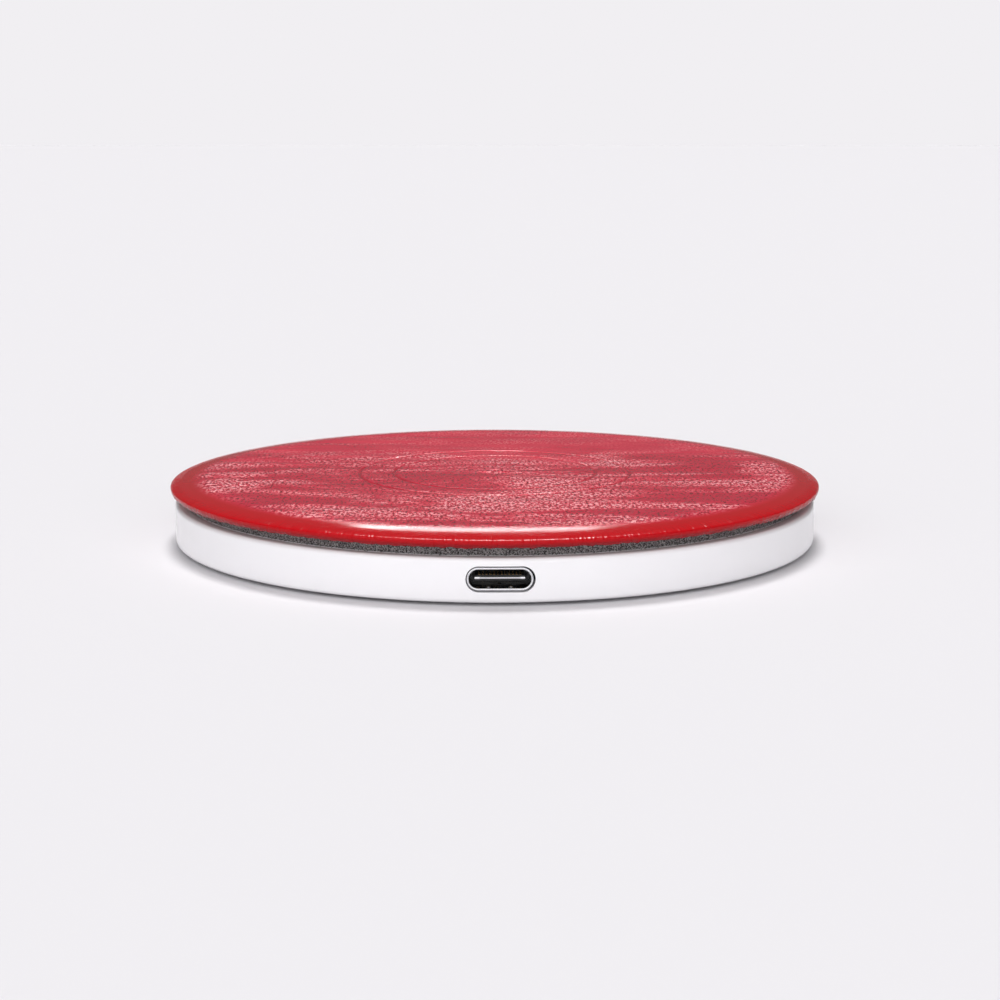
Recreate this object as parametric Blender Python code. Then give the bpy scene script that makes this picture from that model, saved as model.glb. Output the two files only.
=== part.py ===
"""Round wireless charging pad: a leather-wrapped disc on a shallow white housing.

Metres, +Z up. The pad stands on z = 0, its axis is the Z axis, and its USB-C socket faces -Y.
Every separate piece is one object. Pieces that touch keep a small gap.
"""

import math

import bmesh
import bpy
from mathutils import Matrix, Vector

MM = 0.001
GAP = 0.3 * MM  # between moulded pieces
BOND_GAP = 0.15 * MM  # between bonded layers, and under soldered parts

# The whole pad
PAD_RADIUS = 50.0 * MM
PAD_HEIGHT = 10.0 * MM
SEGMENTS = 72

# Leather-wrapped disc
LEATHER_THICKNESS = 0.6 * MM
LEATHER_FLAT_RADIUS = 47.5 * MM  # where the flat top ends and the edge rolls over
LEATHER_WIDEST_Z = 8.95 * MM
LEATHER_LIP_Z = 8.0 * MM  # underside of the turned-in edge
LEATHER_LIP_THICKNESS = 0.45 * MM
LEATHER_LIP_RADIUS = 49.3 * MM  # where the rolled edge meets the flat underside
TURN_IN_RADIUS = 44.0 * MM  # inner edge of the turned-in leather
STIFFENER_RADIUS = 48.4 * MM
STIFFENER_THICKNESS = 0.6 * MM

# Housing tray and lid
HOUSING_RADIUS = 49.35 * MM
HOUSING_Z = (0.5 * MM, 6.6 * MM)
HOUSING_FILLET = 0.6 * MM
RIM_INNER_RADIUS = 47.6 * MM
SHELF_INNER_RADIUS = 46.3 * MM
FLOOR_TOP_Z = 1.6 * MM
LID_RADIUS = RIM_INNER_RADIUS - GAP
LID_THICKNESS = 1.0 * MM
LID_UNDERSIDE_Z = HOUSING_Z[1] - LID_THICKNESS

# Foam pad between the lid and the wrapped disc
FOAM_RADIUS = LID_RADIUS
FOAM_CLEAR = 0.2 * MM
FOAM_Z = (HOUSING_Z[1] + FOAM_CLEAR, LEATHER_LIP_Z - FOAM_CLEAR)

# Foot ring in its groove
FOOT_RADII = (38.0 * MM, 44.0 * MM)
FOOT_THICKNESS = 0.8 * MM
GROOVE_TOP_Z = FOOT_THICKNESS + GAP

# Case screws, from below
SCREW_CIRCLE_RADIUS = 41.0 * MM
SCREW_ANGLES = (90.0, 210.0, 330.0)
SCREW_HEAD_RADIUS = 2.0 * MM
SCREW_HEAD_Z = (1.15 * MM, 2.05 * MM)
SCREW_SHANK_RADIUS = 0.95 * MM
SCREW_TIP_Z = 5.6 * MM
RECESS_SIZE = (2.0 * MM, 0.45 * MM, 1.0 * MM)
COUNTERBORE_RADIUS = 2.3 * MM
COUNTERBORE_TOP_Z = 2.25 * MM
TRAY_BOSS_RADIUS = 3.3 * MM
TRAY_BOSS_TOP_Z = 3.2 * MM
LID_BOSS_RADIUS = 2.5 * MM
PILOT_RADIUS = 1.15 * MM

# USB-C socket
SOCKET_Z = 3.76 * MM
SHELL_WIDTH = 8.94 * MM
SHELL_HEIGHT = 3.16 * MM
SHELL_WALL = 0.3 * MM
SHELL_MOUTH_Y = -49.05 * MM
SHELL_LENGTH = 7.35 * MM
SOCKET_CUT_GAP = 0.2 * MM
SOCKET_CUT_SHIFT = 0.08 * MM  # the moulded opening sits this far to +X of the shell
TONGUE_WIDTH = 6.69 * MM
TONGUE_THICKNESS = 0.7 * MM
TONGUE_TIP_Y = SHELL_MOUTH_Y + 0.75 * MM
INSULATOR_FRONT_Y = SHELL_MOUTH_Y + 5.6 * MM

# Coil stack, hung from the underside of the lid
FILM_THICKNESS = 0.15 * MM
FILM_TOP_Z = LID_UNDERSIDE_Z - BOND_GAP
WIRE_RADIUS = 0.5 * MM
COIL_Z = FILM_TOP_Z - FILM_THICKNESS - BOND_GAP - WIRE_RADIUS
COIL_START_RADIUS = 9.6 * MM
COIL_PITCH = 1.15 * MM
COIL_TURNS = 10
COIL_START_ANGLE = 275.0
COIL_STEPS_PER_TURN = 28
FERRITE_RADIUS = 25.0 * MM
FERRITE_THICKNESS = 0.8 * MM
FERRITE_TOP_Z = COIL_Z - WIRE_RADIUS - BOND_GAP
FERRITE_Z = (FERRITE_TOP_Z - FERRITE_THICKNESS, FERRITE_TOP_Z)
FERRITE_SLOT_WIDTH = 3.6 * MM
FERRITE_SLOT_START = 5.4 * MM

# Circuit board, a ring sector centred on the -Y direction
BOARD_RADII = (28.0 * MM, 45.0 * MM)
BOARD_HALF_ANGLE = 46.0
BOARD_Z = (2.4 * MM, 3.4 * MM)
PEG_CIRCLE_RADIUS = 41.0 * MM
PEG_ANGLES = (270.0 - 38.0, 270.0 + 38.0)
PEG_RADIUS = 0.8 * MM
PEG_TOP_Z = 3.9 * MM
STANDOFF_RADIUS = 2.0 * MM
PARTS_Z = BOARD_Z[1] + BOND_GAP


# ---------------------------------------------------------------- materials


def material(name, colour, roughness, metallic=0.0):
    """The Principled material of this name, made once."""
    found = bpy.data.materials.get(name)
    if found:
        return found
    made = bpy.data.materials.new(name)
    made.use_nodes = True
    shader = made.node_tree.nodes["Principled BSDF"]
    shader.inputs["Base Color"].default_value = (*colour, 1.0)
    shader.inputs["Roughness"].default_value = roughness
    shader.inputs["Metallic"].default_value = metallic
    made.diffuse_color = (*colour, 1.0)
    return made


def red_leather():
    return material("red_leather", (0.50, 0.055, 0.07), 0.5)


def white_plastic():
    return material("white_plastic", (0.86, 0.86, 0.87), 0.25)


def charcoal_foam():
    return material("charcoal_foam", (0.035, 0.035, 0.037), 0.9)


def card():
    return material("grey_card", (0.30, 0.29, 0.27), 0.85)


def grey_silicone():
    return material("grey_silicone", (0.42, 0.42, 0.43), 0.6)


def screw_steel():
    return material("screw_steel", (0.55, 0.55, 0.56), 0.35, 1.0)


def plated_steel():
    return material("plated_steel", (0.75, 0.75, 0.76), 0.18, 1.0)


def black_plastic():
    return material("black_plastic", (0.012, 0.012, 0.013), 0.45)


def litz_wire():
    return material("litz_wire", (0.62, 0.28, 0.12), 0.4, 0.8)


def ferrite():
    return material("ferrite", (0.06, 0.06, 0.065), 0.6)


def board_laminate():
    return material("board_laminate", (0.02, 0.16, 0.07), 0.4)


def chip_epoxy():
    return material("chip_epoxy", (0.02, 0.02, 0.022), 0.55)


def capacitor_ceramic():
    return material("capacitor_ceramic", (0.42, 0.27, 0.16), 0.45)


def film_tape():
    return material("film_tape", (0.55, 0.38, 0.08), 0.3)


def blue_silicone():
    return material("blue_silicone", (0.10, 0.25, 0.42), 0.7)


# ------------------------------------------------------------- shape makers


def add_object(name, mesh, finish=None):
    """An object in the scene holding this mesh, with flat ends and smooth round sides."""
    made = bpy.data.objects.new(name, mesh)
    bpy.context.scene.collection.objects.link(made)
    if finish:
        mesh.materials.append(finish)
    mesh.shade_smooth()
    mesh.set_sharp_from_angle(angle=math.radians(35))
    return made


def finish_mesh(name, shape):
    """Turns a bmesh into a mesh with its faces pointing out."""
    bmesh.ops.remove_doubles(shape, verts=shape.verts, dist=1e-7)
    bmesh.ops.recalc_face_normals(shape, faces=shape.faces)
    mesh = bpy.data.meshes.new(name)
    shape.to_mesh(mesh)
    shape.free()
    return mesh


def turned(name, profile, finish=None, segments=SEGMENTS, at=(0.0, 0.0)):
    """A body of revolution about the Z axis through at, from closed (radius, z) points."""
    shape = bmesh.new()
    points = [shape.verts.new((radius, 0.0, z)) for radius, z in profile]
    edges = [
        shape.edges.new((points[i - 1], point))
        for i, point in enumerate(points)
        if max(profile[i - 1][0], profile[i][0]) > 0.0
    ]
    bmesh.ops.spin(
        shape,
        geom=points + edges,
        axis=(0, 0, 1),
        cent=(0, 0, 0),
        angle=math.tau,
        steps=segments,
        use_merge=True,
    )
    bmesh.ops.translate(shape, verts=shape.verts, vec=(at[0], at[1], 0.0))
    return add_object(name, finish_mesh(name, shape), finish)


def arc(centre, radii, start, end, steps):
    """Points along an elliptical arc in the (radius, z) plane, angles in degrees."""
    points = []
    for i in range(steps + 1):
        angle = math.radians(start + (end - start) * i / steps)
        points.append(
            (centre[0] + radii[0] * math.cos(angle), centre[1] + radii[1] * math.sin(angle))
        )
    return points


def disc_profile(radius, bottom, top):
    return [(0.0, bottom), (radius, bottom), (radius, top), (0.0, top)]


def extruded(name, outline, depth, finish=None, matrix=None):
    """A closed prism: the (x, y) outline at z = 0, extruded up by depth, then placed."""
    shape = bmesh.new()
    face = shape.faces.new([shape.verts.new((x, y, 0.0)) for x, y in outline])
    grown = bmesh.ops.extrude_face_region(shape, geom=[face])
    raised = [v for v in grown["geom"] if isinstance(v, bmesh.types.BMVert)]
    bmesh.ops.translate(shape, verts=raised, vec=(0.0, 0.0, depth))
    if matrix is not None:
        bmesh.ops.transform(shape, matrix=matrix, verts=shape.verts)
    return add_object(name, finish_mesh(name, shape), finish)


def block(name, centre, size, finish=None, turn=0.0, chamfer=0.0):
    """A box with softened edges, turned about Z by turn degrees."""
    shape = bmesh.new()
    bmesh.ops.create_cube(shape, size=1.0)
    bmesh.ops.scale(shape, vec=size, verts=shape.verts)
    if chamfer:
        bmesh.ops.bevel(shape, geom=shape.edges, offset=chamfer, segments=1, affect="EDGES")
    place = Matrix.Translation(centre) @ Matrix.Rotation(math.radians(turn), 4, "Z")
    bmesh.ops.transform(shape, matrix=place, verts=shape.verts)
    return add_object(name, finish_mesh(name, shape), finish)


def stadium(width, height, steps=8):
    """The outline of a slot with full round ends, centred on the origin."""
    radius = height / 2
    reach = width / 2 - radius
    right = arc((reach, 0.0), (radius, radius), -90, 90, steps)
    left = arc((-reach, 0.0), (radius, radius), 90, 270, steps)
    return right + left


def facing_front(y):
    """Places an outline's extrusion so that it starts at y and runs towards +Y."""
    return Matrix.Translation((0.0, y, SOCKET_Z)) @ Matrix.Rotation(math.radians(-90), 4, "X")


def tube(name, path, radius, finish):
    """A round wire along a path, with closed ends, as a curve."""
    curve = bpy.data.curves.new(name, "CURVE")
    curve.dimensions = "3D"
    curve.bevel_depth = radius
    curve.bevel_resolution = 1
    curve.use_fill_caps = True
    spline = curve.splines.new("POLY")
    spline.points.add(len(path) - 1)
    for point, place in zip(spline.points, path):
        point.co = (*place, 1.0)
    curve.materials.append(finish)
    made = bpy.data.objects.new(name, curve)
    bpy.context.scene.collection.objects.link(made)
    return made


def smooth_path(corners, steps=3):
    """Points on a smooth curve through all the corners."""
    ends = [corners[0], *corners, corners[-1]]
    path = []
    for i in range(1, len(ends) - 2):
        before, start, end, after = (Vector(ends[i + k]) for k in (-1, 0, 1, 2))
        for step in range(steps):
            t = step / steps
            path.append(
                0.5
                * (
                    2 * start
                    + (end - before) * t
                    + (2 * before - 5 * start + 4 * end - after) * t**2
                    + (3 * start - before - 3 * end + after) * t**3
                )
            )
    path.append(Vector(corners[-1]))
    return path


def combine(target, tool, operation):
    """Cuts the tool from the target, or joins it on. The tool stays as a hidden guide."""
    step = target.modifiers.new(tool.name, "BOOLEAN")
    step.operation = operation
    step.solver = "EXACT"
    step.object = tool
    tool.hide_render = True
    tool.display_type = "WIRE"


def cut(target, tool):
    combine(target, tool, "DIFFERENCE")


def join(target, tool):
    combine(target, tool, "UNION")


def on_circle(radius, angle):
    """The (x, y) at this radius and angle in degrees."""
    return radius * math.cos(math.radians(angle)), radius * math.sin(math.radians(angle))


# ------------------------------------------------------ leather-wrapped disc


def make_leather_cover():
    """Leather over the top, round the edge, and turned in underneath."""
    inner_top_z = PAD_HEIGHT - LEATHER_THICKNESS
    inner_lip_z = LEATHER_LIP_Z + LEATHER_LIP_THICKNESS
    roll = PAD_RADIUS - LEATHER_FLAT_RADIUS
    upper_roll = arc(
        (LEATHER_FLAT_RADIUS, LEATHER_WIDEST_Z), (roll, PAD_HEIGHT - LEATHER_WIDEST_Z), 90, 0, 4
    )
    lower_roll = arc(
        (LEATHER_LIP_RADIUS, LEATHER_WIDEST_Z),
        (PAD_RADIUS - LEATHER_LIP_RADIUS, LEATHER_WIDEST_Z - LEATHER_LIP_Z),
        0,
        -90,
        2,
    )
    outside = [(0.0, PAD_HEIGHT), *upper_roll, *lower_roll[1:], (TURN_IN_RADIUS, LEATHER_LIP_Z)]
    inside = [
        (TURN_IN_RADIUS, inner_lip_z),
        (PAD_RADIUS - 0.9 * MM, inner_lip_z),
        (PAD_RADIUS - 0.55 * MM, LEATHER_WIDEST_Z - 0.05 * MM),
        (PAD_RADIUS - 1.2 * MM, inner_top_z - 0.15 * MM),
        (LEATHER_FLAT_RADIUS, inner_top_z),
        (0.0, inner_top_z),
    ]
    turned("leather_cover", outside + inside, red_leather())


def make_stiffener_board():
    top = PAD_HEIGHT - LEATHER_THICKNESS - BOND_GAP
    profile = disc_profile(STIFFENER_RADIUS, top - STIFFENER_THICKNESS, top)
    turned("stiffener_board", profile, card())


def make_lining_disc():
    """Card that fills the underside inside the turned-in leather."""
    profile = disc_profile(
        TURN_IN_RADIUS - GAP, LEATHER_LIP_Z, LEATHER_LIP_Z + LEATHER_LIP_THICKNESS
    )
    turned("lining_disc", profile, card())


def make_mount_foam_pad():
    """Foam with adhesive on both faces. Its edge is the dark neck under the leather."""
    turned("mount_foam_pad", disc_profile(FOAM_RADIUS, *FOAM_Z), charcoal_foam())


# ------------------------------------------------------------------- housing


def make_lower_housing():
    """Moulded tray: floor, wall with a shelf for the lid, bosses, pegs and the socket opening."""
    bottom, top = HOUSING_Z
    fillet = HOUSING_FILLET
    foot_inner, foot_outer = FOOT_RADII
    shelf_z = LID_UNDERSIDE_Z - GAP
    profile = [
        (0.0, bottom),
        (foot_inner - GAP, bottom),
        (foot_inner - GAP, GROOVE_TOP_Z),
        (foot_outer + GAP, GROOVE_TOP_Z),
        (foot_outer + GAP, bottom),
        *arc((HOUSING_RADIUS - fillet, bottom + fillet), (fillet, fillet), -90, 0, 3),
        *arc((HOUSING_RADIUS - fillet, top - fillet), (fillet, fillet), 0, 90, 3),
        (RIM_INNER_RADIUS, top),
        (RIM_INNER_RADIUS, shelf_z),
        (SHELF_INNER_RADIUS, shelf_z),
        (SHELF_INNER_RADIUS, FLOOR_TOP_Z),
        (0.0, FLOOR_TOP_Z),
    ]
    housing = turned("lower_housing", profile, white_plastic())

    inside_floor = FLOOR_TOP_Z - 0.2 * MM
    for number, angle in enumerate(SCREW_ANGLES, 1):
        place = on_circle(SCREW_CIRCLE_RADIUS, angle)
        boss = disc_profile(TRAY_BOSS_RADIUS, inside_floor, TRAY_BOSS_TOP_Z)
        join(housing, turned(f"boss_guide_{number}", boss, segments=24, at=place))
        screw_way = [
            (0.0, 0.0),
            (COUNTERBORE_RADIUS, 0.0),
            (COUNTERBORE_RADIUS, COUNTERBORE_TOP_Z),
            (PILOT_RADIUS, COUNTERBORE_TOP_Z),
            (PILOT_RADIUS, TRAY_BOSS_TOP_Z + GAP),
            (0.0, TRAY_BOSS_TOP_Z + GAP),
        ]
        cut(housing, turned(f"screw_way_cutter_{number}", screw_way, segments=20, at=place))

    for number, angle in enumerate(PEG_ANGLES, 1):
        standoff_top_z = BOARD_Z[0] - GAP
        peg = [
            (0.0, inside_floor),
            (STANDOFF_RADIUS, inside_floor),
            (STANDOFF_RADIUS, standoff_top_z),
            (PEG_RADIUS, standoff_top_z),
            (PEG_RADIUS, PEG_TOP_Z),
            (0.0, PEG_TOP_Z),
        ]
        place = on_circle(PEG_CIRCLE_RADIUS, angle)
        join(housing, turned(f"peg_guide_{number}", peg, segments=16, at=place))

    opening = stadium(SHELL_WIDTH + 2 * SOCKET_CUT_GAP, SHELL_HEIGHT + 2 * SOCKET_CUT_GAP)
    sideways = Matrix.Translation((SOCKET_CUT_SHIFT, 0.0, 0.0))
    through_wall = sideways @ facing_front(-HOUSING_RADIUS - 1.0 * MM)
    cut(housing, extruded("socket_cutter", opening, 6.0 * MM, matrix=through_wall))


def make_housing_lid():
    """Flat lid with a blind screw boss over each boss of the tray."""
    plate = disc_profile(LID_RADIUS, LID_UNDERSIDE_Z, HOUSING_Z[1])
    lid = turned("housing_lid", plate, white_plastic())
    for number, angle in enumerate(SCREW_ANGLES, 1):
        place = on_circle(SCREW_CIRCLE_RADIUS, angle)
        boss = disc_profile(LID_BOSS_RADIUS, TRAY_BOSS_TOP_Z + GAP, LID_UNDERSIDE_Z + 0.2 * MM)
        join(lid, turned(f"lid_boss_guide_{number}", boss, segments=20, at=place))
        pilot = disc_profile(PILOT_RADIUS, TRAY_BOSS_TOP_Z, SCREW_TIP_Z + GAP)
        cut(lid, turned(f"pilot_cutter_{number}", pilot, segments=16, at=place))


def make_foot_ring():
    inner, outer = FOOT_RADII
    soft = 0.15 * MM
    profile = [
        (inner + soft, 0.0),
        (outer - soft, 0.0),
        (outer, soft),
        (outer, FOOT_THICKNESS),
        (inner, FOOT_THICKNESS),
        (inner, soft),
    ]
    turned("foot_ring", profile, grey_silicone())


def make_case_screws():
    """Pan-head screws with a cross recess, all alike."""
    head_bottom, head_top = SCREW_HEAD_Z
    dome = 0.25 * MM
    profile = [
        (0.0, head_bottom),
        (SCREW_HEAD_RADIUS - 2 * dome, head_bottom),
        (SCREW_HEAD_RADIUS, head_bottom + dome),
        (SCREW_HEAD_RADIUS, head_top),
        (SCREW_SHANK_RADIUS, head_top),
        (SCREW_SHANK_RADIUS, SCREW_TIP_Z - SCREW_SHANK_RADIUS),
        (0.0, SCREW_TIP_Z),
    ]
    for number, angle in enumerate(SCREW_ANGLES, 1):
        x, y = on_circle(SCREW_CIRCLE_RADIUS, angle)
        screw = turned(f"case_screw_{number}", profile, screw_steel(), segments=20, at=(x, y))
        for side, turn in (("a", angle), ("b", angle + 90)):
            centre = (x, y, head_bottom)
            cut(screw, block(f"recess_cutter_{number}{side}", centre, RECESS_SIZE, turn=turn))


# --------------------------------------------------------------- coil stack


def make_charging_coil():
    """One wire: inner lead through the ferrite's slot, flat spiral, outer lead to the board."""
    lead_z = FERRITE_Z[1] - WIRE_RADIUS
    board_end_z = PARTS_Z + WIRE_RADIUS
    inner_x = -0.9 * MM
    inner_lead = smooth_path(
        [
            (inner_x, -31.0 * MM, board_end_z),
            (inner_x, -28.4 * MM, board_end_z),
            (inner_x, -26.0 * MM, lead_z),
            (inner_x, -18.0 * MM, lead_z),
            (inner_x, -12.0 * MM, lead_z),
            (inner_x + 0.05 * MM, -10.9 * MM, lead_z + 0.05 * MM),
            (inner_x + 0.4 * MM, -10.1 * MM, lead_z + 0.3 * MM),
            (inner_x + 1.0 * MM, -9.65 * MM, COIL_Z - 0.45 * MM),
        ]
    )
    steps = COIL_TURNS * COIL_STEPS_PER_TURN
    spiral = []
    for i in range(steps + 1):
        turns = i / COIL_STEPS_PER_TURN
        x, y = on_circle(COIL_START_RADIUS + COIL_PITCH * turns, COIL_START_ANGLE + 360 * turns)
        settle = min(1.0, i / 2)
        spiral.append(Vector((x, y, COIL_Z - 0.1 * MM * (1.0 - settle))))
    outer_x = 8.6 * MM
    outer_lead = smooth_path(
        [
            (4.6 * MM, -21.35 * MM, COIL_Z),
            (7.2 * MM, -23.2 * MM, COIL_Z),
            (outer_x - 0.3 * MM, -26.2 * MM, COIL_Z - 0.25 * MM),
            (outer_x, -28.6 * MM, board_end_z + 0.07 * MM),
            (outer_x, -31.0 * MM, board_end_z),
        ]
    )
    tube("charging_coil", inner_lead + spiral + outer_lead, WIRE_RADIUS, litz_wire())


def make_coil_film():
    radius = COIL_START_RADIUS + COIL_PITCH * (COIL_TURNS + 1)
    profile = disc_profile(radius, FILM_TOP_Z - FILM_THICKNESS, FILM_TOP_Z)
    turned("coil_film", profile, film_tape(), segments=48)


def make_ferrite_disc():
    disc = turned("ferrite_disc", disc_profile(FERRITE_RADIUS, *FERRITE_Z), ferrite(), segments=48)
    length = FERRITE_RADIUS - FERRITE_SLOT_START + 1.0 * MM
    centre = (0.0, -FERRITE_SLOT_START - length / 2, sum(FERRITE_Z) / 2)
    cut(disc, block("ferrite_slot_cutter", centre, (FERRITE_SLOT_WIDTH, length, 2.0 * MM)))


def make_coil_foam_pad():
    profile = disc_profile(22.0 * MM, FLOOR_TOP_Z + BOND_GAP, FERRITE_Z[0] - 2 * GAP)
    turned("coil_foam_pad", profile, charcoal_foam(), segments=40)


def make_coil_thermistor():
    """Flat bead in the middle of the coil, and its twin lead in the ferrite's slot."""
    bead_z = (FERRITE_Z[1] + BOND_GAP, FERRITE_Z[1] + BOND_GAP + 0.9 * MM)
    turned("coil_thermistor", disc_profile(1.3 * MM, *bead_z), black_plastic(), segments=16)
    radius = 0.3 * MM
    x = 0.9 * MM
    slot_z = FERRITE_Z[1] - 0.45 * MM
    route = [
        (0.5 * MM, -1.75 * MM, bead_z[0] + 0.4 * MM),
        (x, -4.0 * MM, bead_z[0] + 0.35 * MM),
        (x, -5.4 * MM, bead_z[0] + 0.3 * MM),
        (x, -7.4 * MM, slot_z),
        (x, -12.0 * MM, slot_z),
        (x, -25.5 * MM, slot_z),
        (x, -27.8 * MM, PARTS_Z + radius),
        (x, -30.5 * MM, PARTS_Z + radius),
    ]
    tube("thermistor_lead", smooth_path(route), radius, black_plastic())


# ------------------------------------------------------------- circuit board


def make_controller_board():
    """Ring sector with peg holes and a notch for the socket."""
    start, end = 270 - BOARD_HALF_ANGLE, 270 + BOARD_HALF_ANGLE
    outline = arc((0.0, 0.0), (BOARD_RADII[1],) * 2, start, end, 24)
    outline += arc((0.0, 0.0), (BOARD_RADII[0],) * 2, end, start, 16)
    base = Matrix.Translation((0.0, 0.0, BOARD_Z[0]))
    thickness = BOARD_Z[1] - BOARD_Z[0]
    board = extruded("controller_board", outline, thickness, board_laminate(), base)
    middle_z = sum(BOARD_Z) / 2
    notch_back = SHELL_MOUTH_Y + SHELL_LENGTH + GAP
    notch_front = -BOARD_RADII[1] - 1.0 * MM
    notch_size = (SHELL_WIDTH + 2 * GAP, notch_back - notch_front, 3 * thickness)
    notch = block("notch_cutter", (0.0, (notch_back + notch_front) / 2, middle_z), notch_size)
    cut(board, notch)
    for number, angle in enumerate(PEG_ANGLES, 1):
        hole = disc_profile(PEG_RADIUS + GAP, BOARD_Z[0] - GAP, BOARD_Z[1] + GAP)
        place = on_circle(PEG_CIRCLE_RADIUS, angle)
        cut(board, turned(f"peg_hole_cutter_{number}", hole, segments=16, at=place))


def make_board_parts():
    """The packages on the board: name, distance from the pad's axis, angle from -Y, size."""
    chips = (
        ("charge_controller", 35.0, -17.0, (5.0, 5.0, 0.9), chip_epoxy),
        ("power_stage", 35.0, 10.0, (4.0, 4.0, 0.9), chip_epoxy),
        ("voltage_regulator", 38.0, -29.0, (2.9, 1.6, 1.1), chip_epoxy),
        ("input_tvs_diode", 41.5, -11.5, (2.6, 1.6, 1.0), chip_epoxy),
        ("sense_resistor", 40.0, 20.0, (3.2, 1.6, 0.5), chip_epoxy),
        ("input_inductor", 36.5, -3.0, (4.0, 4.0, 1.6), ferrite),
        ("input_capacitor_1", 42.0, 10.5, (2.0, 1.25, 1.25), capacitor_ceramic),
        ("input_capacitor_2", 42.0, 14.5, (2.0, 1.25, 1.25), capacitor_ceramic),
    )
    resonant_angles = (22.0, 27.0, 32.0, 37.0)
    banks = tuple(
        (f"resonant_capacitor_{number}", 34.0, angle, (1.6, 3.2, 1.6), capacitor_ceramic)
        for number, angle in enumerate(resonant_angles, 1)
    )
    for name, distance, angle, size, finish in chips + banks:
        x, y = on_circle(distance * MM, 270 + angle)
        width, depth, height = (side * MM for side in size)
        block(
            name,
            (x, y, PARTS_Z + height / 2),
            (width, depth, height),
            finish(),
            turn=angle,
            chamfer=0.1 * MM,
        )


def make_thermal_pad():
    bottom, top = FLOOR_TOP_Z + BOND_GAP, BOARD_Z[0] - BOND_GAP
    x, y = on_circle(36.0 * MM, 282.0)
    size = (13.0 * MM, 9.0 * MM, top - bottom)
    block("thermal_pad", (x, y, (bottom + top) / 2), size, blue_silicone(), turn=12.0)


# -------------------------------------------------------------- USB-C socket


def make_usb_shell():
    """Drawn steel tube with an open mouth and a solder wing on each side."""
    mouth = facing_front(SHELL_MOUTH_Y)
    outline = stadium(SHELL_WIDTH, SHELL_HEIGHT)
    shell = extruded("usb_shell", outline, SHELL_LENGTH, plated_steel(), mouth)
    wing_reach = 1.6 * MM
    wing_y = -BOARD_RADII[1] + 2.2 * MM
    wing_z = BOARD_Z[1] + GAP + 0.15 * MM
    for side in (-1, 1):
        centre = (side * (SHELL_WIDTH + wing_reach - 0.3 * MM) / 2, wing_y, wing_z)
        wing = block(f"wing_guide_{side + 2}", centre, (wing_reach, 1.8 * MM, 0.25 * MM))
        join(shell, wing)
    inside = stadium(SHELL_WIDTH - 2 * SHELL_WALL, SHELL_HEIGHT - 2 * SHELL_WALL)
    bore_start = facing_front(SHELL_MOUTH_Y - 1.0 * MM)
    cut(shell, extruded("shell_bore_cutter", inside, SHELL_LENGTH + 2.0 * MM, matrix=bore_start))


def make_usb_tongue():
    """Insulator that closes the back of the shell, with the tongue that carries the contacts."""
    clear = SHELL_WALL + BOND_GAP
    outline = stadium(SHELL_WIDTH - 2 * clear, SHELL_HEIGHT - 2 * clear)
    back_y = SHELL_MOUTH_Y + SHELL_LENGTH
    depth = back_y - INSULATOR_FRONT_Y
    place = facing_front(INSULATOR_FRONT_Y)
    insulator = extruded("usb_tongue", outline, depth, black_plastic(), place)
    half = TONGUE_WIDTH / 2
    nose = 0.5 * MM
    root_y = INSULATOR_FRONT_Y + 0.5 * MM
    tongue_outline = [
        (-half, root_y),
        (-half, TONGUE_TIP_Y + nose),
        (-half + nose, TONGUE_TIP_Y),
        (half - nose, TONGUE_TIP_Y),
        (half, TONGUE_TIP_Y + nose),
        (half, root_y),
    ]
    lift = Matrix.Translation((0.0, 0.0, SOCKET_Z - TONGUE_THICKNESS / 2))
    join(insulator, extruded("tongue_guide", tongue_outline, TONGUE_THICKNESS, matrix=lift))


# ------------------------------------------------------------------ assembly

for old in list(bpy.data.objects):
    bpy.data.objects.remove(old, do_unlink=True)

make_leather_cover()
make_stiffener_board()
make_lining_disc()
make_mount_foam_pad()
make_lower_housing()
make_housing_lid()
make_foot_ring()
make_case_screws()
make_charging_coil()
make_coil_film()
make_ferrite_disc()
make_coil_foam_pad()
make_coil_thermistor()
make_controller_board()
make_board_parts()
make_thermal_pad()
make_usb_shell()
make_usb_tongue()
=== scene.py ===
"""The looks of a round wireless charging pad: a leather-wrapped disc on a shallow white housing.

The pad's axis is the Z axis, its USB-C socket faces -Y, and the sections work in millimetres.
"""

import math

import bpy
from mathutils import Matrix, Vector


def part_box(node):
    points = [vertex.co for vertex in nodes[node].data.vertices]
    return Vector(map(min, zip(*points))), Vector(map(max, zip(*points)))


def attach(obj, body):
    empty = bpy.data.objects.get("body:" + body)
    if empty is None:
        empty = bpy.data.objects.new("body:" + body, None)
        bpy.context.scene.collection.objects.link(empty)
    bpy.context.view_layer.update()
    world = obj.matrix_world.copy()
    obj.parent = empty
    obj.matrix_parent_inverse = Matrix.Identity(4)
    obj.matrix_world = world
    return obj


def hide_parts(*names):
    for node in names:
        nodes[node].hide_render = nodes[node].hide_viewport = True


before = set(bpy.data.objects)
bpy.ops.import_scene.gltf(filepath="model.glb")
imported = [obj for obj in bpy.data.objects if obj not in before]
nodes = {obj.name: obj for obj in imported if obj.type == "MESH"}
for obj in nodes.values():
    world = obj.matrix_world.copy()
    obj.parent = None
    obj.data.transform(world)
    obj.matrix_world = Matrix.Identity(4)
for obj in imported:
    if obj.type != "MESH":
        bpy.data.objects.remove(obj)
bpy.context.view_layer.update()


# ---------------------------------------------------------------- housing tray
# The white tray is one moulding in glossy ABS: a floor, a wall with a shelf for the lid,
# three bosses that the screws pass through, two pegs for the board, and an opening for the
# socket. The wall's top and bottom edges are rounded.

MM = 0.001
ROUND_STEPS = 360  # flats round a turned piece
SAME_POINT = 0.0005  # points closer than this, in millimetres, are one


def deselect():
    if bpy.context.object and bpy.context.object.mode == "EDIT":
        bpy.ops.object.mode_set(mode="OBJECT")
    bpy.ops.object.select_all(action="DESELECT")


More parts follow.
